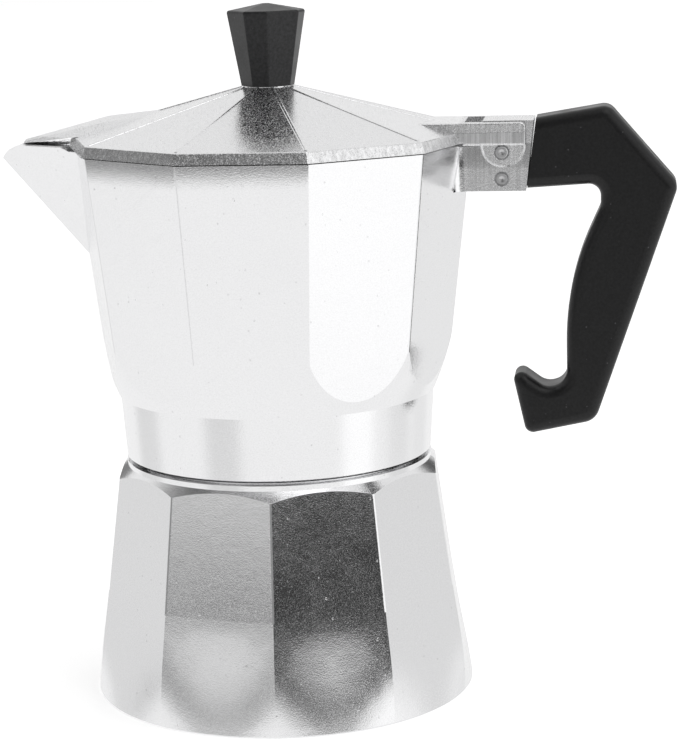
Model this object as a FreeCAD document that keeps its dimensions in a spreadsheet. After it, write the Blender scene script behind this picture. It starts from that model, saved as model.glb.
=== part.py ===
"""Three-cup stovetop moka pot, built as separate solids in millimetres.

Frame: +Z up, origin at the centre of the base, +X towards the handle, -X towards the spout.
The boiler and the upper chamber are ten-sided. The upper chamber screws onto the boiler, so
its facets are turned against the boiler's.
"""

import FreeCAD, Part
import math
import os
from FreeCAD import Placement, Rotation, Vector

DIMENSIONS = {
    # whole pot
    "facet_count": 10,
    "boiler_turn": 22.86,
    "facet_edge": 1.2,
    "overrun": 1.0,
    # boiler, outside
    "boiler_base_corner": 44.27,
    "boiler_top_corner": 36.89,
    "boiler_top": 53.9,
    "foot_radius": 43.2,
    "foot_bevel": 0.5,
    "foot_blend_top": 25.0,
    "foot_blend_rows": 6,
    "foot_blend_columns": 8,
    "shoulder_land": 34.6,
    "shoulder_edge": 52.76,
    "shoulder_slope": 0.773,
    "neck_thread": 31.2,
    "neck_top": 66.5,
    # boiler, inside
    "boiler_floor": 3.0,
    "boiler_cavity_low": 38.2,
    "boiler_cavity_high": 32.4,
    "boiler_cavity_rise": 46.0,
    "floor_corner": 2.6,
    "neck_bore": 28.3,
    "neck_bore_foot": 50.6,
    # safety valve, measured along its own axis from the facet
    "valve_height": 38.0,
    "valve_facet": 2,
    "valve_shank": 4.0,
    "valve_shank_length": 8.0,
    "valve_hex": 6.93,
    "valve_hex_height": 4.0,
    "valve_nose": 5.0,
    "valve_nose_height": 0.8,
    "valve_washer_radius": 6.2,
    "valve_washer_thick": 0.8,
    "valve_bore": 2.4,
    "valve_seat": 1.3,
    "valve_seat_thick": 1.0,
    "valve_nut_radius": 6.35,
    "valve_nut_height": 3.0,
    "valve_nut_gap": 4.4,
    "valve_cap_thick": 1.0,
    "valve_stem": 1.0,
    "valve_stem_clearance": 0.06,
    "valve_plug": 2.1,
    "valve_plug_thick": 1.2,
    "valve_stem_proud": 1.6,
    "valve_stem_sunk": 0.4,
    "spring_coil": 1.7,
    "spring_wire": 0.28,
    "spring_turns": 6,
    "spring_slack": 0.04,
    # funnel
    "funnel_flange": 30.6,
    "funnel_flange_thick": 0.8,
    "funnel_outer": 27.9,
    "funnel_wall": 0.8,
    "funnel_floor": 50.3,
    "funnel_ledge": 26.0,
    "funnel_stem": 3.6,
    "funnel_stem_bore": 2.8,
    "funnel_stem_top": 44.0,
    "funnel_stem_foot": 8.0,
    "sieve_radius": 27.05,
    "sieve_thick": 0.6,
    "sieve_hole": 0.8,
    "sieve_pitch": 4.4,
    # seal and filter plate
    "gasket_outer": 31.2,
    "gasket_inner": 25.5,
    "gasket_thick": 3.0,
    "filter_radius": 29.0,
    "filter_thick": 0.8,
    "filter_hole": 0.8,
    "filter_pitch": 4.0,
    # upper chamber, outside
    "chamber_foot": 66.0,
    "chamber_foot_corner": 38.18,
    "chamber_rim": 123.9,
    "chamber_rim_corner": 45.07,
    "chamber_wall": 2.8,
    "collar_foot": 54.5,
    "collar_foot_radius": 34.5,
    "collar_top": 68.8,
    "collar_bevel": 0.5,
    "collar_top_radius": 35.45,
    "bowl_foot_radius": 35.8,
    "bowl_waist_radius": 38.6,
    "bowl_waist": 76.2,
    "bowl_shoulder_radius": 40.35,
    "bowl_shoulder": 83.2,
    "bowl_rim_spread": 7.0,
    # upper chamber, inside
    "collar_bore": 31.5,
    "filter_seat": 71.1,
    "cavity_radius": 27.0,
    "cavity_top": 75.5,
    "cavity_top_radius": 5.0,
    "hub_radius": 9.0,
    "hub_top": 80.5,
    "bowl_floor_radius": 30.0,
    "bowl_floor": 75.8,
    "bowl_wall": 3.6,
    "bowl_wall_lift": 1.0,
    "bowl_lift": 0.5,
    # riser column
    "column_spigot": 4.0,
    "column_root": 8.2,
    "column_tip": 4.7,
    "column_top": 116.0,
    "column_bore": 2.6,
    "outlet_width": 3.0,
    "outlet_foot": 109.5,
    "outlet_height": 4.5,
    # spout
    "spout_tip": 61.0,
    "spout_tip_height": 121.6,
    "spout_keel": 41.6,
    "spout_keel_height": 99.0,
    "spout_half_width": 11.0,
    "spout_root": 43.2,
    "spout_lip": 55.5,
    "spout_lip_height": 124.8,
    "spout_rise": 45.2,
    "spout_wall": 2.0,
    "spout_start": 36.0,
    "spout_overrun": 0.4,
    "spout_spread": 1.5,
    "spout_lip_shift": 0.3,
    "spout_lip_sag": 1.0,
    "spout_depth": 4.0,
    "spout_slab": 30.0,
    "channel_headroom": 9.0,
    # hinge lug on the chamber
    "lug_root": 36.0,
    "lug_half_width": 6.1,
    "lug_foot": 113.5,
    "lug_top": 128.9,
    "lug_end_low": 57.1,
    "lug_end_high": 58.9,
    "lug_face": 47.2,
    "lug_face_chamfer": 0.7,
    "lug_step": 123.3,
    "lug_flare": 7.9,
    "lug_flare_start": 41.3,
    "lug_flare_end": 44.3,
    "lug_flare_run": 0.4,
    "lug_flare_rise": 0.3,
    "slot_half_width": 2.8,
    "slot_top": 120.2,
    "slot_end": 47.8,
    "hinge_x": 52.0,
    "hinge_height": 122.2,
    "hinge_pin": 1.4,
    "hinge_pin_half": 8.3,
    "handle_pin_x": 51.8,
    "handle_pin_height": 116.1,
    "handle_pin": 1.4,
    "handle_pin_half": 6.1,
    "pin_clearance": 0.05,
    "pin_chamfer": 0.25,
    "pin_dimple": 0.7,
    "pin_dimple_depth": 0.3,
    "pin_sink": 0.3,
    # lid
    "lid_foot": 124.2,
    "lid_foot_corner": 45.8,
    "lid_band_top": 126.5,
    "lid_band_corner": 44.7,
    "lid_peak": 136.8,
    "lid_peak_corner": 5.8,
    "lid_inner_corner": 42.6,
    "lid_inner_edge": 124.9,
    "lid_inner_peak": 134.2,
    "lid_inner_peak_corner": 7.0,
    "lid_edge": 0.45,
    "lid_ridge": 0.5,
    "lid_ridge_proud": 0.17,
    "hood_tip": 55.5,
    "hood_tip_ridge": 125.8,
    "hood_tip_fold": 1.6,
    "hood_tip_side": 0.5,
    "hood_back": 36.2,
    "hood_back_ridge": 130.8,
    "hood_back_fold": 4.0,
    "hood_back_side": 4.0,
    "hood_end": 22.0,
    "hood_end_ridge": 132.2,
    "hood_top_slope": 0.25,
    "hood_side_slope": 0.6,
    "lid_boss": 5.4,
    "lid_boss_top": 137.0,
    "lid_block_end": 43.9,
    "lid_block_start": 34.0,
    "lid_block_sole": 2.0,
    "ear_inner": 6.4,
    "ear_outer": 8.6,
    "ear_start": 43.5,
    "ear_end": 57.2,
    "ear_foot": 123.7,
    "ear_top": 128.7,
    "ear_corner": 1.1,
    "ear_edge": 0.4,
    "ear_lobe": 4.9,
    "ear_lobe_x": 52.3,
    "ear_lobe_face": 8.1,
    "ear_lobe_chamfer": 0.5,
    # knob and its fixings
    "knob_foot_corner": 5.9,
    "knob_top_corner": 8.75,
    "knob_shoulder": 153.5,
    "knob_peak": 155.0,
    "knob_peak_corner": 0.8,
    "knob_turn": 8.3,
    "knob_edge": 0.6,
    "knob_narrow_angle": 35.0,
    "insert_radius": 3.2,
    "insert_height": 10.0,
    "insert_lift": 0.3,
    "screw_radius": 2.0,
    "screw_head": 3.7,
    "screw_head_height": 2.0,
    "screw_reach": 146.0,
    "screw_slot": 0.8,
    "knob_washer_radius": 4.6,
    "knob_washer_thick": 0.6,
    # handle
    "handle_half_width": 6.0,
    "handle_edge": 2.4,
    "tongue_half_width": 2.6,
    "tongue_start": 48.2,
    "tongue_top": 119.9,
    "tongue_depth": 4.0,
    "tongue_foot_gap": 0.4,
}
# handle outline, each corner as x, z and its rounding
HANDLE_CORNERS = [
    (57.3, 113.85, 0), (59.4, 129.3, 0), (75.2, 131.8, 3.0), (90.25, 114.3, 3.2),
    (71.85, 61.75, 4.0), (56.5, 58.65, 1.9), (52.9, 75.0, 1.7), (60.9, 69.2, 3.8),
    (65.6, 70.4, 3.6), (65.6, 93.0, 60.0), (73.3, 109.7, 4.0), (73.3, 114.75, 2.6),
]
TOUCH = 1e-4

doc = FreeCAD.newDocument("MokaPot")
sheet = doc.addObject("Spreadsheet::Sheet", "dims")
for row, (alias, number) in enumerate(DIMENSIONS.items(), start=1):
    sheet.set(f"A{row}", alias)
    sheet.set(f"B{row}", str(number))
    sheet.setAlias(f"B{row}", alias)
doc.recompute()

AXIS = Vector(0, 0, 1)
ORIGIN = Vector(0, 0, 0)
nodes = {}


def size(alias):
    """A driving dimension, read back from the sheet."""
    return float(sheet.get(alias))


def keep(node, part):
    """Names a finished sub-part: its label is its file's name."""
    part.Label = node
    nodes[node] = part
    return part


def bound(kind, name, **expressions):
    """A Part primitive whose properties follow the sheet."""
    part = doc.addObject(kind, name)
    for prop, expression in expressions.items():
        part.setExpression(prop.replace("__", "."), expression)
    return part


def cylinder(name, radius, foot, top):
    return bound("Part::Cylinder", name, Radius=radius, Height=f"({top}) - ({foot})",
                 Placement__Base__z=foot)


def cone(name, low_radius, high_radius, foot, top):
    return bound("Part::Cone", name, Radius1=low_radius, Radius2=high_radius,
                 Height=f"({top}) - ({foot})", Placement__Base__z=foot)


def hexagon(name, corner, foot, top):
    prism = bound("Part::Prism", name, Circumradius=corner, Height=f"({top}) - ({foot})",
                  Placement__Base__z=foot)
    prism.Polygon = 6
    return prism


def cross_bar(name, radius, half_length, x, z):
    """A round bar along Y."""
    bar = bound("Part::Cylinder", name, Radius=radius, Height=f"2 * ({half_length})",
                Placement__Base__x=x, Placement__Base__y=f"({half_length})", Placement__Base__z=z)
    bar.Placement.Rotation = Rotation(Vector(1, 0, 0), 90)
    return bar


def cross_cones(name, wide, narrow, depth, face, x, z):
    """Two cones along Y that narrow inwards from the faces at -face and +face."""
    ends = [Part.makeCone(wide, narrow, depth, Vector(x, side * face, z), Vector(0, -side, 0))
            for side in (-1, 1)]
    return shaped(name, Part.makeCompound(ends))


def fused(name, *parts):
    join = doc.addObject("Part::MultiFuse", name)
    join.Shapes = list(parts)
    return join


def cut(name, base, *tools):
    difference = doc.addObject("Part::Cut", name)
    difference.Base = base
    difference.Tool = tools[0] if len(tools) == 1 else fused(name + "_tools", *tools)
    return difference


def common(name, base, tool):
    overlap = doc.addObject("Part::Common", name)
    overlap.Base = base
    overlap.Tool = tool
    return overlap


def shaped(name, shape):
    """A feature whose shape is made in code from the sheet's values."""
    part = doc.addObject("Part::Feature", name)
    part.Shape = shape
    return part


def facet_angle():
    """The turn from one corner to the next, in degrees."""
    return 360 / size("facet_count")


def across_flats(corner):
    """The distance from the axis to the middle of a facet whose corners are this far out."""
    return corner * math.cos(math.radians(facet_angle() / 2))


def facet_corners(corner, height, turn=0.0):
    angles = [math.radians(turn + facet_angle() * i) for i in range(int(size("facet_count")))]
    return [Vector(corner * math.cos(a), corner * math.sin(a), height) for a in angles]


def ruled_solid(*rings):
    """A closed solid through rings of corners, each stretch with flat sides."""
    faces = [Part.Face(Part.makePolygon(rings[0][::-1] + rings[0][-1:]))]
    faces.append(Part.Face(Part.makePolygon(rings[-1] + rings[-1][:1])))
    for low, high in zip(rings, rings[1:]):
        for i in range(len(low)):
            j = (i + 1) % len(low)
            faces.append(Part.Face(Part.makePolygon([low[i], low[j], high[j], high[i], low[i]])))
    shell = Part.makeShell(faces)
    shell.sewShape()
    solid = Part.makeSolid(shell)
    if solid.Volume < 0:
        solid.reverse()
    return solid


def rounded_edges(solid, radius, low=None, high=None):
    """Rounds the edges that leave the rings at heights low and high, or every edge without them."""
    def on_ring(edge, height):
        box = edge.BoundBox
        return abs(box.ZMin - height) < TOUCH and abs(box.ZMax - height) < TOUCH

    edges = [edge for edge in solid.Edges
             if not any(on_ring(edge, height) for height in (low, high) if height is not None)]
    return solid.makeFillet(radius, edges)


def outline(points, plane="XZ"):
    """A closed face from points. A point with a third value ends an arc that passes it by."""
    def place(pair):
        return Vector(pair[0], 0, pair[1]) if plane == "XZ" else Vector(pair[0], pair[1], 0)

    edges = []
    here = place(points[0])
    for point in list(points[1:]) + [points[0]]:
        there = place(point)
        if len(point) == 3:
            edges.append(Part.Arc(here, place(point[2]), there).toShape())
        elif (there - here).Length > TOUCH:
            edges.append(Part.makeLine(here, there))
        here = there
    return Part.Face(Part.Wire(edges))


def turned(points):
    """A solid of revolution about Z from an outline in the XZ plane."""
    return outline(points).revolve(ORIGIN, AXIS, 360)


def slab(points, half_width):
    """An XZ outline made solid across Y, centred on the middle plane."""
    face = outline(points)
    face.translate(Vector(0, -half_width, 0))
    return face.extrude(Vector(0, 2 * half_width, 0))


def rounded_outline(corners):
    """Points for outline() from corners (x, z, radius), each corner rounded by an arc."""
    points = []
    for i, (x, z, radius) in enumerate(corners):
        before = Vector(corners[i - 1][0], corners[i - 1][1], 0)
        after = Vector(corners[(i + 1) % len(corners)][0], corners[(i + 1) % len(corners)][1], 0)
        here = Vector(x, z, 0)
        if radius == 0:
            points.append((x, z))
            continue
        inward = (before - here).normalize()
        onward = (after - here).normalize()
        half = inward.getAngle(onward) / 2
        start = here + inward * (radius / math.tan(half))
        end = here + onward * (radius / math.tan(half))
        middle = (inward + onward).normalize()
        centre = here + middle * (radius / math.sin(half))
        via = centre - middle * radius
        points.append((start.x, start.y))
        points.append((end.x, end.y, (via.x, via.y)))
    return points


def hole_field(name, hole, pitch, reach, foot, top):
    """Cylinders on a triangular grid out to a radius, as one tool."""
    radius = size(hole)
    step = size(pitch)
    holes = []
    rings = int(size(reach) / step)
    for u in range(-rings, rings + 1):
        for v in range(-rings, rings + 1):
            x = step * (u + v / 2)
            y = step * v * math.sqrt(3) / 2
            if math.hypot(x, y) + radius < size(reach) - radius:
                holes.append(Part.makeCylinder(radius, top - foot, Vector(x, y, foot)))
    return shaped(name, Part.makeCompound(holes))


def boiler_corner(height):
    """How far out the boiler's corners are at a height."""
    fall = (size("boiler_base_corner") - size("boiler_top_corner")) / size("boiler_top")
    return size("boiler_base_corner") - fall * height


def foot_blend():
    """The lowest stretch of the boiler, where its flats spread into the round base."""
    top = size("foot_blend_top")
    rows = int(size("foot_blend_rows"))
    columns = int(size("foot_blend_columns"))
    grid = []
    for i in range(rows + 1):
        height = top * i / rows
        share = (1 - i / rows) ** 2
        flat = across_flats(boiler_corner(height))
        line = []
        for j in range(columns + 1):
            angle = math.radians(facet_angle() * (j / columns - 0.5))
            reach = share * size("foot_radius") + (1 - share) * flat / math.cos(angle)
            line.append(Vector(reach * math.cos(angle), reach * math.sin(angle), height))
        grid.append(line)
    surface = Part.BSplineSurface()
    surface.interpolate(grid)
    patches = []
    for i in range(int(size("facet_count"))):
        patch = surface.toShape()
        patch.rotate(ORIGIN, AXIS, size("boiler_turn") + facet_angle() * (i + 0.5))
        patches.append(patch)
    ends = []
    for height in (0, top):
        rim = [edge for patch in patches for edge in patch.Edges
               if abs(edge.BoundBox.Center.z - height) < TOUCH]
        ends.append(Part.Face(Part.Wire(Part.__sortEdges__(rim))))
    shell = Part.makeShell(patches + ends)
    shell.sewShape()
    solid = Part.makeSolid(shell)
    if solid.Volume < 0:
        solid.reverse()
    return solid


def valve_frame():
    """Local +Z along the valve's axis, origin on the boiler's facet."""
    reach = across_flats(boiler_corner(size("valve_height")))
    tilt = math.degrees(math.atan((across_flats(boiler_corner(0)) - reach)
                                  / size("valve_height")))
    turn = size("boiler_turn") + facet_angle() * (size("valve_facet") + 0.5)
    spin = Rotation(AXIS, turn)
    origin = spin.multVec(Vector(reach, 0, size("valve_height")))
    return Placement(origin, spin.multiply(Rotation(Vector(0, 1, 0), 90 - tilt)))


def make_boiler():
    turn = size("boiler_turn")
    blend_top = size("foot_blend_top")
    frustum = shaped("boiler_frustum", rounded_edges(ruled_solid(
        facet_corners(boiler_corner(blend_top), blend_top, turn),
        facet_corners(size("boiler_top_corner"), size("boiler_top"), turn)),
        size("facet_edge"), blend_top, size("boiler_top")))
    foot = shaped("boiler_foot", foot_blend())
    sole = size("foot_radius") - size("foot_bevel")
    edge = size("boiler_base_corner") + size("overrun")
    shoulder_low = size("shoulder_edge") - (edge - size("shoulder_land")) * size("shoulder_slope")
    neck = size("neck_thread")
    neck_top = size("neck_top")
    envelope = shaped("boiler_envelope", turned([
        (0, 0), (sole, 0), (edge, edge - sole), (edge, shoulder_low),
        (size("shoulder_land"), size("shoulder_edge")),
        (size("shoulder_land"), size("boiler_top")), (neck, size("boiler_top")),
        (neck, neck_top), (0, neck_top)]))
    stock = cylinder("neck_stock", "dims.neck_thread + dims.overrun", "dims.boiler_floor",
                     "dims.neck_top + dims.overrun")
    solid = common("boiler_turned", fused("boiler_blank", frustum, foot, stock), envelope)
    low = size("boiler_cavity_low")
    corner = size("floor_corner")
    floor = size("boiler_floor")
    cavity = shaped("boiler_cavity", turned([
        (0, floor), (low - corner, floor),
        (low, floor + corner, (low - corner * (1 - math.sqrt(0.5)),
                               floor + corner * (1 - math.sqrt(0.5)))),
        (size("boiler_cavity_high"), size("boiler_cavity_rise")),
        (size("neck_bore"), size("neck_bore_foot")),
        (size("neck_bore"), neck_top + size("overrun")), (0, neck_top + size("overrun"))]))
    port = bound("Part::Cylinder", "valve_port", Radius="dims.valve_shank + dims.pin_clearance",
                 Height="2 * dims.valve_shank_length")
    port.Placement = valve_frame().multiply(Placement(Vector(0, 0, -size("valve_shank_length")),
                                                      Rotation()))
    keep("boiler", cut("boiler_part", solid, cavity, port))


def make_valve():
    frame = valve_frame()
    under_hex = "dims.valve_washer_thick"
    over_hex = "dims.valve_washer_thick + dims.valve_hex_height"
    tip = over_hex + " + dims.valve_nose_height"
    inner_end = "-dims.valve_shank_length"
    seat_top = "dims.valve_seat_thick - dims.valve_shank_length"

    shank = cylinder("valve_shank_bar", "dims.valve_shank", inner_end, under_hex)
    head = hexagon("valve_head", "dims.valve_hex", under_hex, over_hex)
    nose = cylinder("valve_nose_disc", "dims.valve_nose", over_hex, tip)
    bore = cylinder("valve_bore_tool", "dims.valve_bore", seat_top, tip + " + dims.overrun")
    seat = cylinder("valve_seat_tool", "dims.valve_seat", inner_end + " - dims.overrun",
                    tip + " + dims.overrun")
    body = cut("valve_body_part", fused("valve_blank", shank, head, nose), bore, seat)
    keep("valve_body", body).Placement = frame

    ring = cylinder("washer_disc", "dims.valve_washer_radius", "0", under_hex)
    eye = cylinder("washer_eye", "dims.valve_shank + dims.pin_clearance", "-dims.overrun",
                   under_hex + " + dims.overrun")
    keep("valve_washer", cut("valve_washer_part", ring, eye)).Placement = frame

    nut_top = "-dims.valve_nut_gap"
    nut_foot = "-dims.valve_nut_gap - dims.valve_nut_height"
    blank = hexagon("nut_blank", "dims.valve_nut_radius", nut_foot, nut_top)
    thread = cylinder("nut_thread", "dims.valve_shank + dims.pin_clearance",
                      nut_foot + " - dims.overrun", "0")
    keep("valve_nut", cut("valve_nut_part", blank, thread)).Placement = frame

    cap_foot = tip + " - dims.valve_cap_thick"
    disc = cylinder("cap_disc", "dims.valve_bore", cap_foot, tip)
    guide = cylinder("cap_guide", "dims.valve_stem + dims.valve_stem_clearance", "0",
                     tip + " + dims.overrun")
    keep("valve_cap", cut("valve_cap_part", disc, guide)).Placement = frame

    plug_top = seat_top + " + dims.valve_plug_thick"
    stem = cylinder("pin_stem", "dims.valve_stem", inner_end + " + dims.valve_stem_sunk",
                    tip + " + dims.valve_stem_proud")
    plug = cylinder("pin_plug", "dims.valve_plug", seat_top, plug_top)
    keep("valve_pin", fused("valve_pin_part", stem, plug)).Placement = frame

    wire = size("spring_wire")
    low = size("valve_seat_thick") - size("valve_shank_length") + size("valve_plug_thick") + wire
    high = (size("valve_washer_thick") + size("valve_hex_height") + size("valve_nose_height")
            - size("valve_cap_thick") - wire)
    slack = size("spring_slack")
    length = high - low - 2 * slack
    helix = Part.makeHelix(length / size("spring_turns"), length, size("spring_coil"))
    section = Part.Wire(Part.makeCircle(wire, Vector(size("spring_coil"), 0, 0), Vector(0, 1, 0)))
    coil = Part.Wire(helix.Edges).makePipeShell([section], True, True)
    lifted = frame.multiply(Placement(Vector(0, 0, low + slack), Rotation()))
    keep("valve_spring", shaped("valve_spring_part", coil)).Placement = lifted


def make_funnel():
    top = size("neck_top")
    outer = size("funnel_outer")
    wall = size("funnel_wall")
    floor = size("funnel_floor")
    stem = size("funnel_stem")
    bore = size("funnel_stem_bore")
    stem_top = size("funnel_stem_top")
    foot = size("funnel_stem_foot")
    flange_top = top + size("funnel_flange_thick")
    funnel = turned([
        (bore, foot), (stem, foot), (stem, stem_top - wall), (outer, floor - wall), (outer, top),
        (size("funnel_flange"), top), (size("funnel_flange"), flange_top),
        (outer - wall, flange_top), (outer - wall, floor), (size("funnel_ledge"), floor),
        (bore, stem_top)])
    keep("funnel", shaped("funnel_part", funnel))

    plate = cylinder("sieve_disc", "dims.sieve_radius", "dims.funnel_floor",
                     "dims.funnel_floor + dims.sieve_thick")
    holes = hole_field("sieve_holes", "sieve_hole", "sieve_pitch", "funnel_ledge",
                       floor - size("overrun"), floor + 2 * size("overrun"))
    keep("funnel_sieve", cut("funnel_sieve_part", plate, holes))


def make_seal():
    foot = "dims.neck_top + dims.funnel_flange_thick"
    top = foot + " + dims.gasket_thick"
    ring = cylinder("gasket_disc", "dims.gasket_outer", foot, top)
    eye = cylinder("gasket_eye", "dims.gasket_inner", foot + " - dims.overrun", top + " + dims.overrun")
    keep("gasket", cut("gasket_part", ring, eye))

    plate = cylinder("filter_disc", "dims.filter_radius", top, top + " + dims.filter_thick")
    height = size("neck_top") + size("funnel_flange_thick") + size("gasket_thick")
    holes = hole_field("filter_holes", "filter_hole", "filter_pitch", "gasket_inner",
                       height - size("overrun"), height + 2 * size("overrun"))
    keep("filter_plate", cut("filter_plate_part", plate, holes))


def spout_wedge(inset):
    """The V of the spout: a triangle swept along the keel, its sides moved in by inset."""
    keel_low = Vector(-size("spout_keel"), 0, size("spout_keel_height"))
    tip = Vector(-size("spout_tip"), 0, size("spout_tip_height"))
    rim = Vector(-size("spout_root"), size("spout_half_width"), size("chamber_rim"))
    along = tip - keel_low
    side = rim - keel_low
    normal = along.cross(side).normalize()
    inward = Vector(along.z, 0, -along.x).normalize()
    shift = inward * (inset / abs(inward.dot(normal)))
    overrun = along * size("spout_overrun")
    side = side * size("spout_spread")
    mirror = Vector(side.x, -side.y, side.z)
    start = keel_low + shift - overrun
    triangle = Part.makePolygon([start, start + side, start + mirror, start])
    return Part.Face(triangle).extrude(along + overrun * 2)


def spout_profile():
    """The spout seen from the side, so that its lip curves down to the tip."""
    rim = size("chamber_rim")
    lip = (-size("spout_lip"), size("spout_lip_height"))
    tip = (-size("spout_tip"), size("spout_tip_height"))
    via = ((lip[0] + 2 * tip[0]) / 3 + size("spout_lip_shift"), lip[1] - size("spout_lip_sag"))
    foot = size("spout_keel_height") - size("spout_depth")
    start = -size("spout_start")
    return [(start, foot), (start, rim), (-size("spout_root"), rim),
            (-size("spout_rise"), lip[1]), lip, (tip[0], tip[1], via), (tip[0], foot)]


def make_chamber():
    foot = size("chamber_foot")
    rim = size("chamber_rim")
    facets = shaped("chamber_facets", rounded_edges(ruled_solid(
        facet_corners(size("chamber_foot_corner"), foot),
        facet_corners(size("chamber_rim_corner"), rim)), size("facet_edge"), foot, rim))
    collar_top = size("collar_top")
    bowl = shaped("chamber_bowl", turned([
        (0, collar_top), (size("bowl_foot_radius"), collar_top),
        (size("bowl_shoulder_radius"), size("bowl_shoulder"),
         (size("bowl_waist_radius"), size("bowl_waist"))),
        (size("bowl_shoulder_radius") + size("bowl_rim_spread"), rim), (0, rim)]))
    body = common("chamber_body", facets, bowl)
    bevel = size("collar_bevel")
    collar = shaped("chamber_collar", turned([
        (0, size("collar_foot")), (size("collar_foot_radius") - bevel, size("collar_foot")),
        (size("collar_foot_radius"), size("collar_foot") + bevel),
        (size("collar_top_radius"), collar_top), (0, collar_top)]))

    spout = shaped("spout_outer", spout_wedge(0).common(
        slab(spout_profile(), size("spout_slab"))))
    lug = shaped("hinge_lug", lug_blank())

    wall = size("chamber_wall") * size("chamber_rim_corner") / across_flats(
        size("chamber_rim_corner"))
    inner = ruled_solid(
        facet_corners(size("chamber_foot_corner") - wall, foot),
        facet_corners(size("chamber_rim_corner") - wall, rim))
    bowl_wall = size("bowl_wall")
    rise = size("bowl_wall_lift")
    inner_floor = turned([
        (0, size("hub_top")), (size("hub_radius"), size("hub_top")),
        (size("bowl_floor_radius"), size("bowl_floor")),
        (size("bowl_shoulder_radius") - bowl_wall, size("bowl_shoulder") + rise,
         (size("bowl_waist_radius") - bowl_wall, size("bowl_waist") + rise)),
        (size("bowl_shoulder_radius") - bowl_wall + size("bowl_rim_spread"), rim), (0, rim)])
    lifted = inner.copy()
    lifted.translate(Vector(0, 0, size("bowl_lift")))
    mouth = Part.makeCylinder(size("spout_tip"), size("overrun"), Vector(0, 0, rim))
    bowl_space = shaped("bowl_space", inner.fuse(lifted).common(inner_floor.fuse(mouth)))

    channel_start = -size("spout_start")
    channel_top = rim + size("channel_headroom")
    channel_side = slab([(channel_start, size("bowl_shoulder")), (channel_start, channel_top),
                         (-size("spout_tip"), channel_top),
                         (-size("spout_tip"), size("bowl_shoulder"))], size("spout_slab"))
    channel = shaped("spout_channel", spout_wedge(size("spout_wall")).common(channel_side))

    bore = cylinder("collar_bore_tool", "dims.collar_bore", "dims.collar_foot - dims.overrun",
                    "dims.filter_seat")
    cavity = cone("underside_cavity", "dims.cavity_radius", "dims.cavity_top_radius",
                  "dims.filter_seat", "dims.cavity_top")
    column_hole = cylinder("column_hole", "dims.column_spigot", "dims.cavity_top - dims.overrun",
                           "dims.hub_top + dims.overrun")
    slot_foot = size("lug_foot") - size("overrun")
    slot_reach = size("lug_end_high") + size("overrun")
    slot = shaped("handle_slot", slab([
        (size("slot_end"), slot_foot), (size("slot_end"), size("slot_top")),
        (slot_reach, size("slot_top")), (slot_reach, slot_foot)], size("slot_half_width")))
    hinge_hole = cross_bar("hinge_hole", "dims.hinge_pin", "dims.lug_half_width + dims.overrun",
                           "dims.hinge_x", "dims.hinge_height")
    pin_hole = cross_bar("handle_pin_hole", "dims.handle_pin", "dims.lug_half_width + dims.overrun",
                         "dims.handle_pin_x", "dims.handle_pin_height")
    sink = cross_cones("handle_pin_sink", size("handle_pin") + size("pin_sink"),
                       size("handle_pin"), size("pin_sink"), size("lug_half_width"),
                       size("handle_pin_x"), size("handle_pin_height"))
    casting = fused("chamber_casting", body, collar, spout, lug)
    keep("upper_chamber", cut("upper_chamber_part", casting, bowl_space, channel, bore, cavity,
                              column_hole, slot, hinge_hole, pin_hole, sink))


def lug_blank():
    """Hinge lug: its side outline, narrowed from a flared root on the facets."""
    half = size("lug_half_width")
    flare = size("lug_flare")
    root = size("lug_root")
    foot = size("lug_foot")
    top = size("lug_top")
    face = size("lug_face")
    chamfer = size("lug_face_chamfer")
    step = size("lug_step")
    side = slab([
        (root, foot), (size("lug_end_low"), foot), (size("lug_end_high"), top),
        (face + chamfer, top), (face, top - chamfer), (face, step), (root, step)], flare)
    start = size("lug_flare_start")
    end = size("lug_flare_end")
    hollow = (start + size("lug_flare_run") * (end - start),
              half + size("lug_flare_rise") * (flare - half))
    reach = size("lug_end_high") + size("overrun")
    plan = outline([
        (root, -flare), (start, -flare), (end, -half, (hollow[0], -hollow[1])), (reach, -half),
        (reach, half), (end, half), (start, flare, hollow), (root, flare)], plane="XY")
    plan.translate(Vector(0, 0, foot - size("overrun")))
    return side.common(plan.extrude(Vector(0, 0, top - foot + 2 * size("overrun"))))


def make_column():
    root = cone("column_cone", "dims.column_root", "dims.column_tip", "dims.hub_top",
                "dims.column_top")
    dome = bound("Part::Sphere", "column_dome", Radius="dims.column_tip",
                 Placement__Base__z="dims.column_top")
    spigot = cylinder("column_spigot_bar", "dims.column_spigot", "dims.cavity_top",
                      "dims.hub_top")
    bore = cylinder("column_bore_tool", "dims.column_bore", "dims.cavity_top - dims.overrun",
                    "dims.column_top")
    outlet = bound("Part::Box", "column_outlet", Length="4 * dims.column_root",
                   Width="dims.outlet_width", Height="dims.outlet_height",
                   Placement__Base__x="-2 * dims.column_root",
                   Placement__Base__y="-dims.outlet_width / 2",
                   Placement__Base__z="dims.outlet_foot")
    keep("riser_column", cut("riser_column_part", fused("column_blank", root, dome, spigot),
                             bore, outlet))


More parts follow.
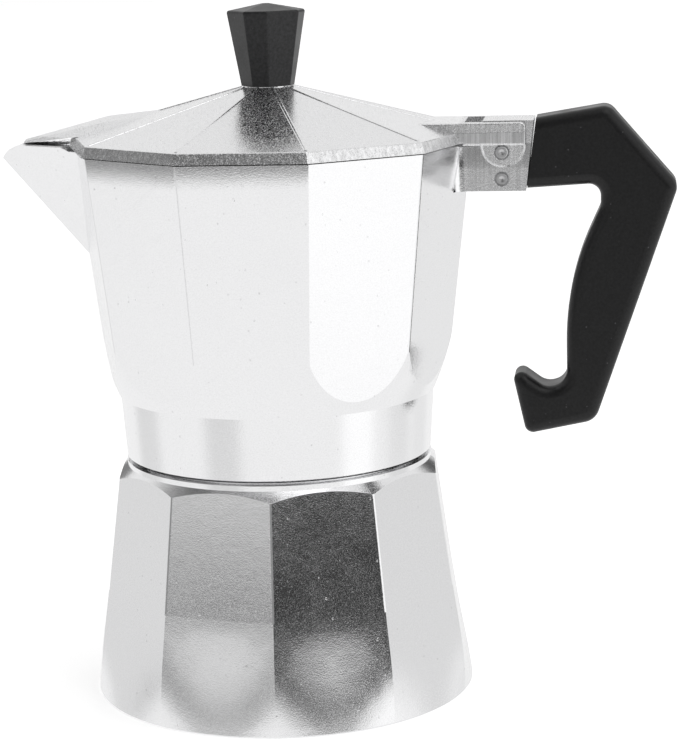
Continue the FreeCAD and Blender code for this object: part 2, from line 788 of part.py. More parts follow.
def make_lid():
    rings = [
        facet_corners(size("lid_foot_corner"), size("lid_foot")),
        facet_corners(size("lid_band_corner"), size("lid_band_top")),
        facet_corners(size("lid_peak_corner"), size("lid_peak"))]
    shell = shaped("lid_shell", rounded_edges(
        ruled_solid(*rings), size("lid_edge"), size("lid_foot"), size("lid_peak")))
    boss = cylinder("lid_boss_disc", "dims.lid_boss", "dims.lid_inner_peak", "dims.lid_boss_top")
    inner = size("lid_inner_corner")
    hollow = shaped("lid_hollow", ruled_solid(
        facet_corners(inner, size("lid_foot") - size("overrun")),
        facet_corners(inner, size("lid_inner_edge")),
        facet_corners(size("lid_inner_peak_corner"), size("lid_inner_peak"))))
    end = size("lid_block_end")
    past = size("lug_end_high")
    low = size("lid_foot") - size("overrun")
    high = size("ear_top") + size("overrun")
    notch = slab([(end, low), (end, high), (past, high), (past, low)], size("ear_inner"))
    block = slab([(size("lid_block_start"), size("lid_inner_edge")),
                  (end - size("lid_block_sole"), size("lid_foot")),
                  (end, size("lid_foot")), (end, size("ear_top")),
                  (size("lid_block_start"), size("ear_top"))], size("ear_inner"))
    ear = fused("lid_ears", shaped("ear_left", ear_plate(1)), shaped("ear_right", ear_plate(-1)))
    hinge_hole = cross_bar("ear_hole", "dims.hinge_pin + dims.pin_clearance",
                           "dims.ear_outer + dims.overrun", "dims.hinge_x", "dims.hinge_height")
    hinge_sink = cross_cones("ear_sink", size("hinge_pin") + size("pin_sink"),
                             size("hinge_pin"), size("pin_sink"), size("ear_lobe_face"),
                             size("hinge_x"), size("hinge_height"))
    screw_hole = cylinder("lid_screw_hole", "dims.screw_radius + dims.pin_clearance",
                          "dims.lid_inner_peak - dims.overrun", "dims.lid_boss_top + dims.overrun")
    dome = fused("lid_dome", shell, lid_ridges(), shaped("lid_hood", spout_hood()))
    trimmed = cut("lid_trimmed", dome, shaped("lid_notch", notch), hollow)
    body = fused("lid_body", trimmed, boss, shaped("lid_block", block), ear)
    keep("lid", cut("lid_part", body, hinge_hole, hinge_sink, screw_hole))


def lid_ridges():
    """A thin ridge along each corner of the lid's slope, as polishing the facets leaves."""
    radius = size("lid_ridge")
    sink = radius - size("lid_ridge_proud")
    low = facet_corners(size("lid_band_corner"), size("lid_band_top") - sink)
    high = facet_corners(size("lid_peak_corner"), size("lid_peak") - sink)
    bars = []
    for start, end in zip(low, high):
        along = end - start
        inset = Vector(along).normalize() * (2 * radius)
        bars.append(Part.makeCylinder(radius, along.Length - 2 * radius, start + inset, along))
    return shaped("lid_ridge_bars", Part.makeCompound(bars))


def hood_ring(x, ridge, fold, side):
    """A section of the hood: a ridge, a shallow top and steeper sides down to a flat sole."""
    fold_height = ridge - fold * size("hood_top_slope")
    sole = fold_height - side * size("hood_side_slope")
    return [Vector(-x, -fold - side, sole), Vector(-x, fold + side, sole),
            Vector(-x, fold, fold_height), Vector(-x, 0, ridge), Vector(-x, -fold, fold_height)]


def spout_hood():
    """The lid's beak over the spout: it widens from its tip and runs out in the lid's slope."""
    return ruled_solid(
        hood_ring(size("hood_tip"), size("hood_tip_ridge"), size("hood_tip_fold"),
                  size("hood_tip_side")),
        hood_ring(size("hood_back"), size("hood_back_ridge"), size("hood_back_fold"),
                  size("hood_back_side")),
        hood_ring(size("hood_end"), size("hood_end_ridge"), size("hood_back_fold"),
                  size("hood_back_side")))


def ear_plate(side):
    """One hinge ear: a bar along the lid's block, and a thinner round lobe round the pin."""
    inner = size("ear_inner")
    outer = size("ear_outer")
    foot = size("ear_foot")
    start = size("ear_start")
    bar = outline(rounded_outline([
        (size("lid_block_start"), size("lid_inner_edge"), 0),
        (size("lid_block_end") - size("lid_block_sole"), size("lid_foot"), 0),
        (start, size("lid_foot"), 0),
        (start, foot, 0), (size("ear_end"), foot, 0),
        (size("ear_end"), size("ear_top"), size("ear_corner")),
        (size("lid_block_start"), size("ear_top"), 0)]))
    bar.translate(Vector(0, side * inner, 0))
    plate = bar.extrude(Vector(0, side * (outer - inner), 0))
    edges = [edge for edge in plate.Edges
             if min(abs(edge.BoundBox.YMin), abs(edge.BoundBox.YMax)) > outer - TOUCH]
    plate = plate.makeFillet(size("ear_edge"), edges)

    lobe = size("ear_lobe")
    chamfer = size("ear_lobe_chamfer")
    shoulder = size("ear_lobe_face") - chamfer
    outward = Vector(0, side, 0)
    disc = Part.makeCylinder(lobe, shoulder - inner,
                             Vector(size("ear_lobe_x"), side * inner, foot), outward)
    rim = Part.makeCone(lobe, lobe - chamfer, chamfer,
                        Vector(size("ear_lobe_x"), side * shoulder, foot), outward)
    return plate.fuse([disc, rim])


def knob_ring(corner, height):
    """Eight corners: wide and narrow faces in turn."""
    narrow = size("knob_narrow_angle") / 2
    corners = []
    for quarter in range(4):
        middle = 90 * quarter - size("knob_turn")
        for angle in (middle - narrow, middle + narrow):
            a = math.radians(angle)
            corners.append(Vector(corner * math.cos(a), corner * math.sin(a), height))
    return corners


def make_knob():
    foot = size("lid_boss_top")
    shoulder = size("knob_shoulder")
    grip = ruled_solid(knob_ring(size("knob_foot_corner"), foot),
                       knob_ring(size("knob_top_corner"), shoulder),
                       knob_ring(size("knob_peak_corner"), size("knob_peak")))
    grip = rounded_edges(grip, size("knob_edge"), foot, size("knob_peak"))
    pocket = cylinder("knob_pocket", "dims.insert_radius", "dims.lid_boss_top - dims.overrun",
                      "dims.lid_boss_top + dims.insert_lift + dims.insert_height")
    keep("knob", cut("knob_part", shaped("knob_grip", grip), pocket))

    insert_foot = "dims.lid_boss_top + dims.insert_lift"
    insert_top = insert_foot + " + dims.insert_height"
    sleeve = cylinder("insert_sleeve", "dims.insert_radius", insert_foot, insert_top)
    thread = cylinder("insert_thread", "dims.screw_radius", insert_foot + " - dims.overrun",
                      insert_top + " + dims.overrun")
    keep("knob_insert", cut("knob_insert_part", sleeve, thread))

    washer_top = "dims.lid_inner_peak"
    washer_foot = "dims.lid_inner_peak - dims.knob_washer_thick"
    disc = cylinder("knob_washer_disc", "dims.knob_washer_radius", washer_foot, washer_top)
    eye = cylinder("knob_washer_eye", "dims.screw_radius + dims.pin_clearance",
                   washer_foot + " - dims.overrun", washer_top + " + dims.overrun")
    keep("knob_washer", cut("knob_washer_part", disc, eye))

    head_foot = washer_foot + " - dims.screw_head_height"
    head = cylinder("screw_head_disc", "dims.screw_head", head_foot, washer_foot)
    shank = cylinder("screw_shank", "dims.screw_radius", head_foot, "dims.screw_reach")
    slot = bound("Part::Box", "screw_slot_tool", Length="4 * dims.screw_head",
                 Width="dims.screw_slot", Height="dims.screw_slot + dims.overrun",
                 Placement__Base__x="-2 * dims.screw_head",
                 Placement__Base__y="-dims.screw_slot / 2",
                 Placement__Base__z=head_foot + " - dims.overrun")
    keep("knob_screw", cut("knob_screw_part", fused("screw_blank", head, shank), slot))


def make_handle():
    """Handle: arm, grip and hook with rounded edges, and the tongue that sits in the lug."""
    half = size("handle_half_width")
    arm = slab(rounded_outline(HANDLE_CORNERS), half)
    low_end = Vector(HANDLE_CORNERS[0][0], 0, HANDLE_CORNERS[0][1])
    high_end = Vector(HANDLE_CORNERS[1][0], 0, HANDLE_CORNERS[1][1])

    def on_side(edge):
        box = edge.BoundBox
        return abs(abs(box.YMin) - half) < TOUCH and box.YLength < TOUCH

    def on_end(edge):
        middle = Vector(edge.CenterOfMass.x, 0, edge.CenterOfMass.z)
        return middle.distanceToLine(low_end, high_end - low_end) < TOUCH

    edges = [edge for edge in arm.Edges if on_side(edge) and not on_end(edge)]
    rounded = arm.makeFillet(size("handle_edge"), edges)
    start = size("tongue_start")
    root = low_end.x + size("tongue_depth")
    foot = low_end.z + size("tongue_foot_gap")
    top = size("tongue_top")
    tongue = slab([(start, foot), (root, foot), (root, top), (start, top)],
                  size("tongue_half_width"))
    pin_hole = cross_bar("handle_pin_eye", "dims.handle_pin", "dims.lug_half_width + dims.overrun",
                         "dims.handle_pin_x", "dims.handle_pin_height")
    solid = fused("handle_solid", shaped("handle_arm", rounded), shaped("handle_tongue", tongue))
    keep("handle", cut("handle_part", solid, pin_hole))


def headed_pin(name, radius, half_length, x, z):
    """A pin along Y whose ends are chamfered and dimpled."""
    chamfer = size("pin_chamfer")
    reach = size(half_length)
    section = [(0, -reach), (size(radius) - chamfer, -reach), (size(radius), chamfer - reach),
               (size(radius), reach - chamfer), (size(radius) - chamfer, reach), (0, reach)]
    pin = turned(section)
    pin.Placement = Placement(Vector(size(x), 0, size(z)), Rotation(Vector(1, 0, 0), 90))
    dimples = cross_cones(name + "_dimples", size("pin_dimple"), 0, size("pin_dimple_depth"),
                          reach, size(x), size(z))
    keep(name, cut(name + "_part", shaped(name + "_bar", pin), dimples))


def make_pins():
    headed_pin("hinge_pin", "hinge_pin", "hinge_pin_half", "hinge_x", "hinge_height")
    headed_pin("handle_pin", "handle_pin", "handle_pin_half", "handle_pin_x",
               "handle_pin_height")


make_boiler()
make_valve()
make_funnel()
make_seal()
make_chamber()
make_column()
make_handle()
make_pins()
make_lid()
make_knob()
doc.recompute()

for part in doc.Objects:
    if "Invalid" in part.State or "Error" in part.State:
        raise RuntimeError(f"{part.Label} did not build: {part.State}")
os.makedirs("parts", exist_ok=True)
for node, part in nodes.items():
    shape = part.Shape
    if shape.isNull() or not shape.isValid() or not shape.Solids:
        raise RuntimeError(f"{node} has no valid solid")
    shape.exportStep(f"parts/{node}.step")
    print(f"{node}: {shape.Volume / 1000:.2f} cm3, {len(shape.Solids)} solid(s)")
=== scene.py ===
import math

import bpy
from mathutils import Matrix, Vector


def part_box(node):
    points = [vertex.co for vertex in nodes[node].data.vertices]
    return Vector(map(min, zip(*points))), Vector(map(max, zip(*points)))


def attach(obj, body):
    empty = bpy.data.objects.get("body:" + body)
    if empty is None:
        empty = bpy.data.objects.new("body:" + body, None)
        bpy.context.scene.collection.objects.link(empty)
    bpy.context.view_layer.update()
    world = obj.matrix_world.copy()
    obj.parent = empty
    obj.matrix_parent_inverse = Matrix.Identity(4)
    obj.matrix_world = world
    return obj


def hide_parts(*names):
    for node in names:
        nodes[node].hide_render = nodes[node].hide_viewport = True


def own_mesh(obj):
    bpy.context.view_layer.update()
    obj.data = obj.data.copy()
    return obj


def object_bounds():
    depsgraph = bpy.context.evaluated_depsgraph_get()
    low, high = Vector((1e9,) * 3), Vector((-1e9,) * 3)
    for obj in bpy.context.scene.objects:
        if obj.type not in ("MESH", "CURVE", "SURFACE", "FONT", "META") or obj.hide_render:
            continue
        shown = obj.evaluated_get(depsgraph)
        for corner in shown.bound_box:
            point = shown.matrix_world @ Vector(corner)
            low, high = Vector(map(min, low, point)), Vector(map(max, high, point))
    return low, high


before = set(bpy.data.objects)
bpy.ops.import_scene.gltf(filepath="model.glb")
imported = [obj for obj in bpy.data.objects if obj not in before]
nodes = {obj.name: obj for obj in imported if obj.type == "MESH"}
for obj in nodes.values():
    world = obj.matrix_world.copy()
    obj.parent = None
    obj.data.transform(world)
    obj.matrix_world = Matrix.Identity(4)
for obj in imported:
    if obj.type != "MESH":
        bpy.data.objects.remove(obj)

MM = 0.001
cad_low, cad_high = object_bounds()
boiler_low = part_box("boiler")[0]
chamber_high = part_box("upper_chamber")[1]
lid_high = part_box("lid")[1]
base = Vector((0.0, 0.0, boiler_low.z))

# the chamber's rolled rim, the lid's band, how far the ground flats of the lug and the ears
# reach, and where the foot's polish is worn
CHAMBER_RIM = base.z + 123.9 * MM
CHAMBER_ROLL = 5.5 * MM
CHAMBER_ROLL_DROP = 0.40 * MM
LID_FOOT = base.z + 124.2 * MM
LID_BAND = 2.3 * MM
LID_BAND_SOFT = 0.05 * MM
LUG_LENGTH = 15.5 * MM
EAR_LENGTH = 14.3 * MM
WORN_FROM = base.z - 8.0 * MM
WORN_TO = base.z + 30.0 * MM


# ---------------------------------------------------------------- camera

CAMERA_AZIMUTH = 8.43
CAMERA_ELEVATION = 11.1
CAMERA_DISTANCE = 561 * MM
CAMERA_AIM_HEIGHT = 72.5 * MM
CAMERA_PAN = 1.444
CAMERA_TILT = -0.075
CAMERA_ROLL = -1.82
CAMERA_LENS = 119.8


def make_camera():
    """Stands round the pot at an azimuth and elevation, then pans, tilts and rolls a little."""
    azimuth, elevation = math.radians(CAMERA_AZIMUTH), math.radians(CAMERA_ELEVATION)
    back = Vector((math.sin(azimuth) * math.cos(elevation),
                   -math.cos(azimuth) * math.cos(elevation), math.sin(elevation)))
    right = Vector((math.cos(azimuth), math.sin(azimuth), 0.0))
    up = back.cross(right)
    turn = (Matrix.Rotation(math.radians(-CAMERA_PAN), 3, up)
            @ Matrix.Rotation(math.radians(CAMERA_TILT), 3, right))
    roll = Matrix.Rotation(math.radians(CAMERA_ROLL), 3, turn @ back)
    axes = [roll @ turn @ axis for axis in (right, up, back)]
    data = bpy.data.cameras.new("camera")
    data.lens = CAMERA_LENS
    data.sensor_width = 36.0
    data.clip_start = 0.01
    data.clip_end = 50.0
    camera = bpy.data.objects.new("camera", data)
    bpy.context.scene.collection.objects.link(camera)
    pose = Matrix(axes).transposed().to_4x4()
    pose.translation = back * CAMERA_DISTANCE + Vector((0.0, 0.0, CAMERA_AIM_HEIGHT))
    camera.matrix_world = pose
    bpy.context.scene.camera = camera


# ---------------------------------------------------------------- node helpers

class Nodes:
    """A short way to write a shader node tree."""

    def __init__(self, tree):
        self.tree = tree

    def add(self, kind, **values):
        """A node; names that are its properties are set, other names are its inputs."""
        node = self.tree.nodes.new(kind)
        for name, value in values.items():
            if hasattr(node, name):
                setattr(node, name, value)
            else:
                self.feed(node.inputs[name.replace("_", " ")], value)
        return node

    def feed(self, socket, value):
        if isinstance(value, bpy.types.NodeSocket):
            self.tree.links.new(value, socket)
        else:
            socket.default_value = value

    def math(self, operation, *values, clamp=False):
        node = self.tree.nodes.new("ShaderNodeMath")
        node.operation = operation
        node.use_clamp = clamp
        for socket, value in zip(node.inputs, values):
            self.feed(socket, value)
        return node.outputs[0]

    def smooth(self, value, low, high):
        """0 below low, 1 above high, with a soft step between."""
        node = self.tree.nodes.new("ShaderNodeMapRange")
        node.interpolation_type = "SMOOTHSTEP"
        self.feed(node.inputs["Value"], value)
        self.feed(node.inputs["From Min"], low)
        self.feed(node.inputs["From Max"], high)
        return node.outputs["Result"]

    def ranged(self, value, low, high, to_low, to_high):
        node = self.tree.nodes.new("ShaderNodeMapRange")
        self.feed(node.inputs["Value"], value)
        self.feed(node.inputs["From Min"], low)
        self.feed(node.inputs["From Max"], high)
        self.feed(node.inputs["To Min"], to_low)
        self.feed(node.inputs["To Max"], to_high)
        return node.outputs["Result"]

    def mix(self, factor, first, second):
        node = self.tree.nodes.new("ShaderNodeMix")
        node.data_type = "RGBA"
        self.feed(node.inputs["Factor"], factor)
        self.feed(node.inputs["A"], first)
        self.feed(node.inputs["B"], second)
        return node.outputs["Result"]

    def place(self):
        return self.tree.nodes.new("ShaderNodeTexCoord").outputs["Object"]

    def along(self, where, axis):
        """One coordinate of a place."""
        return self.add("ShaderNodeSeparateXYZ", Vector=where).outputs[axis]

    def flip(self, value):
        """1 where the value is 0, and 0 where it is 1."""
        return self.math("SUBTRACT", 1.0, value)

    def tinted(self, level, tint=(1.0, 1.0, 1.0)):
        """A colour of the given level, its parts each times a tint."""
        red, green, blue = [level if part == 1.0 else self.math("MULTIPLY", level, part)
                            for part in tint]
        return self.add("ShaderNodeCombineColor", Red=red, Green=green, Blue=blue).outputs[0]

    def noise(self, where, scale, detail=2.0, roughness=0.5, stretch=None):
        if stretch:
            mapping = self.add("ShaderNodeMapping", Vector=where, Scale=stretch)
            where = mapping.outputs[0]
        node = self.add("ShaderNodeTexNoise", Vector=where, Scale=scale, Detail=detail,
                        Roughness=roughness)
        return node.outputs["Fac"]

    def bump(self, height, distance, strength=1.0, normal=None):
        node = self.add("ShaderNodeBump", Height=height, Distance=distance, Strength=strength)
        if normal is not None:
            self.feed(node.inputs["Normal"], normal)
        return node.outputs[0]


def new_material(name):
    material = bpy.data.materials.new(name)
    material.use_nodes = True
    tree = material.node_tree
    shader = tree.nodes["Principled BSDF"]
    return material, Nodes(tree), shader


# ---------------------------------------------------------------- metal

# textures of the casting: noise cells a metre, and the depth of their bumps in metres
PEEL_SCALE = 330.0
PEEL_DEPTH = 0.00002
SAND_SCALE = 3200.0
SAND_DEPTH = 0.000024
DUST_SCALE = 7000.0
DUST_DEPTH = 0.000018
CLOUD_SCALE = 70.0
PIT_SCALE = 760.0
PIT_SHARE = 0.05
PIT_DEPTH = 0.00003
PIT_CORE = 0.08
PIT_RIM = 0.26
TICK_SCALE = 1500.0
TICK_SHARE = 0.02
SCRATCH_WIDTH = 0.012
ROLL_POWER = 1.7

# the two ways of grinding: stretch of the lines, their depth, and how much darker they are
BRUSHED_LINES = ((3000.0, 300.0, 40.0), 0.00003, 0.16)
EDGED_LINES = ((1500.0, 1500.0, 50.0), 0.00007, 0.22)


def pits(n, where, scale, share):
    """Small round pits: 1 in a pit, 0 elsewhere. share is how many cells have one."""
    cells = n.add("ShaderNodeTexVoronoi", Vector=where, Scale=scale)
    chosen = n.math("GREATER_THAN", n.add("ShaderNodeSeparateColor", Color=cells.outputs["Color"])
                    .outputs[0], 1.0 - share)
    dot = n.flip(n.smooth(cells.outputs["Distance"], PIT_CORE, PIT_RIM))
    return n.math("MULTIPLY", chosen, dot)


def scratches(n, where, stretch, turn):
    """Fine straight scratches, mostly one way."""
    mapping = n.add("ShaderNodeMapping", Vector=where, Rotation=turn)
    line = n.noise(mapping.outputs[0], 1.0, 0.0, 0.5, stretch)
    return n.flip(n.smooth(n.math("ABSOLUTE", n.math("SUBTRACT", line, 0.5)),
                           0.0, SCRATCH_WIDTH))


def rim_roll(n, where, foot, top, drop):
    """A facet's last few millimetres, rounded inwards: a height that falls towards the top."""
    rise = n.math("SUBTRACT", n.along(where, "Z"), foot)
    share = n.math("DIVIDE", rise, top - foot, clamp=True)
    return n.math("MULTIPLY", n.math("POWER", share, ROLL_POWER), -drop)


def cast_metal(name, grain=1.0, sparkle=1.0, haze=0.10, brushed=None, edged=None, roll=None,
               matt=None):
    """Polished cast aluminium: orange peel, sandy grain, pits and short scratches.

    haze is how much rougher the grit is than the polish between it.
    brushed and edged return a mask of the flats and of the rim that are ground upright.
    matt returns a mask of where the polish has worn off.
    roll is (foot, top, drop) of an edge that the polishing wheel has rounded off."""
    material, n, shader = new_material(name)
    where = n.place()
    peel = n.noise(where, PEEL_SCALE, 2.0, 0.5)
    sand = n.noise(where, SAND_SCALE, 1.5, 0.6)
    dust = n.noise(where, DUST_SCALE, 0.0, 0.5)
    cloud = n.noise(where, CLOUD_SCALE, 3.0, 0.6)
    holes = pits(n, where, PIT_SCALE, PIT_SHARE)
    marks = scratches(n, where, (9.0, 9.0, 210.0), (0.5, 0.35, 0.2))
    slanted = n.add("ShaderNodeMapping", Vector=where, Rotation=(0.3, 0.9, 0.4),
                    Scale=(1.0, 1.0, 0.45))
    ticks = pits(n, slanted.outputs[0], TICK_SCALE, TICK_SHARE)
    grit = n.smooth(n.math("ADD", n.math("MULTIPLY", sand, 0.6), n.math("MULTIPLY", dust, 0.4)),
                    0.50, 0.66)
    rough = n.ranged(cloud, 0.3, 0.7, 0.07, 0.12)
    for mask, more in ((grit, haze), (ticks, 0.45 * sparkle), (marks, 0.05 * sparkle)):
        rough = n.math("ADD", rough, n.math("MULTIPLY", mask, more))
    tone = n.ranged(sand, 0.35, 0.65, 0.90, 0.95)
    if matt:
        worn = matt(n, where)
        rough = n.math("ADD", rough, n.math("MULTIPLY", worn, 0.13))
        sand = n.math("MULTIPLY", sand, n.math("ADD", n.math("MULTIPLY", worn, 2.0), 1.0))
    tone = n.math("SUBTRACT", tone, n.math("MULTIPLY", holes, 0.12))
    normal = n.bump(peel, PEEL_DEPTH * grain, 0.6)
    normal = n.bump(sand, SAND_DEPTH * sparkle, 0.7, normal)
    normal = n.bump(dust, DUST_DEPTH * sparkle, 0.7, normal)
    normal = n.bump(holes, -PIT_DEPTH, 0.6, normal)
    if roll:
        normal = n.bump(rim_roll(n, where, *roll), 1.0, 1.0, normal)
    for mask_of, (stretch, depth, shade) in ((brushed, BRUSHED_LINES), (edged, EDGED_LINES)):
        if mask_of is None:
            continue
        mask = mask_of(n, where)
        lines = n.noise(where, 1.0, 2.0, 0.6, stretch)
        rough = n.math("ADD", rough, n.math("MULTIPLY", mask, 0.12))
        tone = n.math("SUBTRACT", tone, n.math("MULTIPLY", mask, n.ranged(
            lines, 0.35, 0.65, shade, 0.0)))
        normal = n.bump(n.math("MULTIPLY", lines, mask), depth, 0.7, normal)
    n.feed(shader.inputs["Roughness"], n.math("MAXIMUM", rough, 0.06))
    n.feed(shader.inputs["Base Color"], n.tinted(tone, (1.0, 1.0, 1.008)))
    n.feed(shader.inputs["Normal"], normal)
    shader.inputs["Metallic"].default_value = 1.0
    return material


def height_mask(low, high, soft):
    """1 between two heights."""
    def mask(n, where):
        z = n.along(where, "Z")
        above = n.smooth(z, low - soft, low + soft)
        below = n.flip(n.smooth(z, high - soft, high + soft))
        return n.math("MULTIPLY", above, below)
    return mask


def foot_mask(low, high):
    """1 below the lower height, fading to 0 at the higher one."""
    def mask(n, where):
        return n.flip(n.smooth(n.along(where, "Z"), low, high))
    return mask


def side_mask(start, soft=0.3 * MM):
    """1 beyond a distance towards the handle."""
    def mask(n, where):
        return n.smooth(n.along(where, "X"), start - soft, start + soft)
    return mask


def turned_metal(name, tone=0.86, roughness=0.24, tint=(1.0, 1.0, 1.01)):
    """Metal with fine lathe lines round its axis."""
    material, n, shader = new_material(name)
    where = n.place()
    lines = n.noise(where, 1.0, 2.0, 0.6, (40.0, 40.0, 5200.0))
    cloud = n.noise(where, 120.0, 2.0, 0.5)
    level = n.math("MULTIPLY", n.ranged(lines, 0.3, 0.7, 0.88, 1.0), tone)
    n.feed(shader.inputs["Base Color"], n.tinted(level, tint))
    n.feed(shader.inputs["Roughness"], n.ranged(cloud, 0.3, 0.7, roughness, roughness + 0.10))
    n.feed(shader.inputs["Normal"], n.bump(lines, 0.00003, 0.5))
    shader.inputs["Metallic"].default_value = 1.0
    return material


def resin(name, tone=0.006):
    """Black moulded phenolic resin: semi-matt, with fine speckle and a little dust."""
    material, n, shader = new_material(name)
    where = n.place()
    speckle = n.noise(where, 1700.0, 2.0, 0.6)
    mottle = n.noise(where, 160.0, 3.0, 0.6)
    dust = pits(n, where, 1100.0, 0.03)
    level = n.math("ADD", n.ranged(speckle, 0.3, 0.7, tone * 0.5, tone * 1.5),
                   n.math("MULTIPLY", dust, 0.05))
    n.feed(shader.inputs["Base Color"], n.tinted(level, (1.0, 1.0, 1.06)))
    n.feed(shader.inputs["Roughness"], n.ranged(mottle, 0.3, 0.7, 0.30, 0.42))
    normal = n.bump(mottle, 0.00008, 0.35)
    normal = n.bump(speckle, 0.00002, 0.5, normal)
    n.feed(shader.inputs["Normal"], normal)
    shader.inputs["Specular IOR Level"].default_value = 0.36
    return material


def rubber(name):
    """Off-white silicone seal."""
    material, n, shader = new_material(name)
    where = n.place()
    speckle = n.noise(where, 900.0, 3.0, 0.6)
    n.feed(shader.inputs["Base Color"], n.mix(speckle, (0.74, 0.72, 0.66, 1.0),
                                              (0.84, 0.82, 0.77, 1.0)))
    n.feed(shader.inputs["Roughness"], n.ranged(speckle, 0.3, 0.7, 0.5, 0.62))
    n.feed(shader.inputs["Normal"], n.bump(speckle, 0.00004, 0.4))
    return material


def dress(material, *names):
    for name in names:
        slots = nodes[name].data.materials
        slots.clear()
        slots.append(material)


def dress_all():
    boiler_metal = cast_metal("boiler_cast", sparkle=0.5, haze=0.07,
                              matt=foot_mask(WORN_FROM, WORN_TO))
    chamber_metal = cast_metal(
        "chamber_cast", sparkle=0.8, haze=0.09, brushed=side_mask(chamber_high.x - LUG_LENGTH),
        roll=(CHAMBER_RIM - CHAMBER_ROLL, CHAMBER_RIM, CHAMBER_ROLL_DROP))
    lid_metal = cast_metal(
        "lid_cast", grain=0.5, sparkle=0.8, haze=0.6, brushed=side_mask(lid_high.x - EAR_LENGTH),
        edged=height_mask(LID_FOOT, LID_FOOT + LID_BAND, LID_BAND_SOFT))
    dress(boiler_metal, "boiler")
    dress(chamber_metal, "upper_chamber")
    dress(lid_metal, "lid")
    dress(turned_metal("spun_aluminium"), "funnel", "funnel_sieve", "filter_plate",
          "riser_column")
    brass = turned_metal("brass", tone=0.80, roughness=0.22, tint=(1.0, 0.76, 0.40))
    dress(brass, "valve_body", "valve_nut", "valve_cap", "valve_pin", "knob_insert")
    steel = turned_metal("steel", tone=0.62, roughness=0.25)
    dress(steel, "valve_spring", "handle_pin", "hinge_pin", "knob_washer", "knob_screw")
    dress(resin("handle_resin"), "handle")
    dress(resin("knob_resin", tone=0.018), "knob")
    dress(rubber("seal_silicone"), "gasket", "valve_washer")


# ---------------------------------------------------------------- the valve's spring

def make_spring():
    """The valve's spring as a piece of its own, on the boiler unit."""
    cad_spring = nodes["valve_spring"]
    coil = bpy.data.objects.new("valve_coil", cad_spring.data.copy())
    bpy.context.scene.collection.objects.link(coil)
    coil.matrix_world = cad_spring.matrix_world
    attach(coil, "boiler_unit")
    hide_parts("valve_spring")
    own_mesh(coil)


# ---------------------------------------------------------------- stage and light

FLOOR_RADIUS = 3.5
FLOOR_GAP = 0.05 * MM
FLOOR_GLOW = 0.55
FLOOR_PAINT = (0.93, 0.93, 0.93, 1.0)
WHITE = (1.0, 1.0, 1.0, 1.0)


def make_floor():
    """A wide pale floor, lit from within a little so that it stays white."""
    bpy.ops.mesh.primitive_circle_add(vertices=96, radius=FLOOR_RADIUS, fill_type="NGON",
                                      location=(0.0, 0.0, base.z - FLOOR_GAP))
    floor = bpy.context.object
    floor.name = "floor"
    material, _, shader = new_material("floor_paint")
    shader.inputs["Base Color"].default_value = FLOOR_PAINT
    shader.inputs["Roughness"].default_value = 0.6
    shader.inputs["Specular IOR Level"].default_value = 0.0
    shader.inputs["Emission Color"].default_value = WHITE
    shader.inputs["Emission Strength"].default_value = FLOOR_GLOW
    floor.data.materials.append(material)
    floor.visible_glossy = False


# what the metal reflects, all in degrees: each card's azimuth from +X, its half width and how
# soft its sides are, the elevations where it starts and is full, those where it is still full
# and has ended, and its brightness
CARDS = [
    (-135.0, 74.0, 12.0, -12.5, -7.0, 62.0, 80.0, 0.27),
    (-135.0, 74.0, 12.0, 20.0, 38.0, 62.0, 80.0, 0.15),
    (-124.7, 13.0, 3.0, -30.0, -20.0, 12.0, 24.0, 0.72),
    (-124.7, 13.0, 3.0, -8.0, -5.5, -3.6, 0.6, 0.20),
    (163.0, 14.0, 4.0, -30.0, -14.0, 6.0, 24.0, 0.74),
    (-20.0, 13.0, 3.0, -30.0, -22.0, 70.0, 80.0, 1.08),
    (-52.7, 16.0, 3.0, -9.5, -5.5, 0.8, 6.4, 0.035),
    (19.8, 12.0, 4.0, -25.0, -12.0, 6.0, 24.0, 0.74),
    (50.0, 12.0, 3.0, -45.0, -35.0, -6.0, 0.0, 0.84),
    (68.0, 8.0, 3.0, -4.0, -1.0, 20.0, 30.0, 0.10),
    (124.0, 12.0, 3.0, -5.0, -2.0, 14.0, 20.0, 0.22),
]


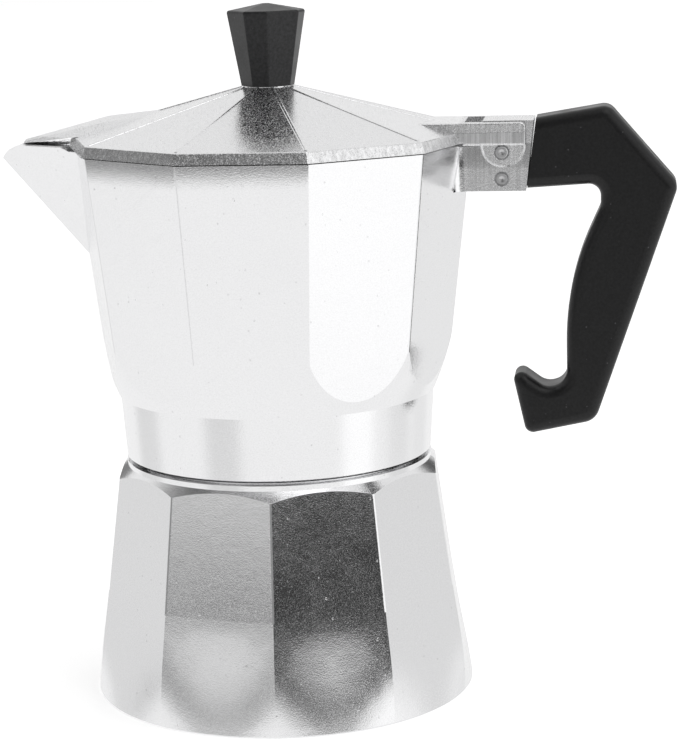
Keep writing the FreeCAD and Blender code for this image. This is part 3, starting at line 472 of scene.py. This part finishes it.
def make_world():
    """A bright studio round the pot, with darker cards near the horizon for the metal to show."""
    world = bpy.data.worlds.new("studio")
    world.use_nodes = True
    bpy.context.scene.world = world
    tree = world.node_tree
    tree.nodes.clear()
    n = Nodes(tree)
    heading = n.add("ShaderNodeSeparateXYZ",
                    Vector=n.add("ShaderNodeTexCoord").outputs["Generated"])
    azimuth = n.math("DEGREES", n.math("ARCTAN2", heading.outputs["Y"], heading.outputs["X"]))
    elevation = n.math("DEGREES", n.math("ARCSINE", heading.outputs["Z"]))
    level = n.ranged(elevation, -10.0, 40.0, 0.92, 0.80)
    for centre, half_width, soft, low, low_full, high_full, high, brightness in CARDS:
        aside = n.math("WRAP", n.math("SUBTRACT", azimuth, centre), 180.0, -180.0)
        across = n.math("ABSOLUTE", aside)
        beside = n.flip(n.smooth(across, half_width - soft, half_width + soft))
        above = n.smooth(elevation, low, low_full)
        below = n.flip(n.smooth(elevation, high_full, high))
        mask = n.math("MULTIPLY", beside, n.math("MULTIPLY", above, below))
        level = n.math("ADD", n.math("MULTIPLY", level, n.flip(mask)),
                       n.math("MULTIPLY", mask, brightness))
    seen = n.add("ShaderNodeBackground", Color=WHITE, Strength=1.0)
    studio = n.add("ShaderNodeBackground", Color=n.tinted(level), Strength=1.0)
    choose = n.add("ShaderNodeMixShader")
    n.feed(choose.inputs[0], n.add("ShaderNodeLightPath").outputs["Is Camera Ray"])
    n.feed(choose.inputs[1], studio.outputs[0])
    n.feed(choose.inputs[2], seen.outputs[0])
    output = n.add("ShaderNodeOutputWorld")
    n.feed(output.inputs["Surface"], choose.outputs[0])


def make_light(name, azimuth, elevation, distance, size, power):
    """A soft square light that looks at the pot's middle."""
    a, e = math.radians(azimuth), math.radians(elevation)
    direction = Vector((math.cos(a) * math.cos(e), math.sin(a) * math.cos(e), math.sin(e)))
    data = bpy.data.lights.new(name, "AREA")
    data.size = size
    data.energy = power
    light = bpy.data.objects.new(name, data)
    bpy.context.scene.collection.objects.link(light)
    middle = Vector((0.0, 0.0, (cad_low.z + cad_high.z) / 2))
    light.location = middle + direction * distance
    light.rotation_euler = direction.to_track_quat("Z", "Y").to_euler()


def light_stage():
    make_floor()
    make_world()
    make_light("key", azimuth=-60.0, elevation=60.0, distance=1.1, size=0.7, power=1.5)
    bpy.context.scene.view_settings.view_transform = "Standard"


make_camera()
light_stage()
dress_all()
make_spring()
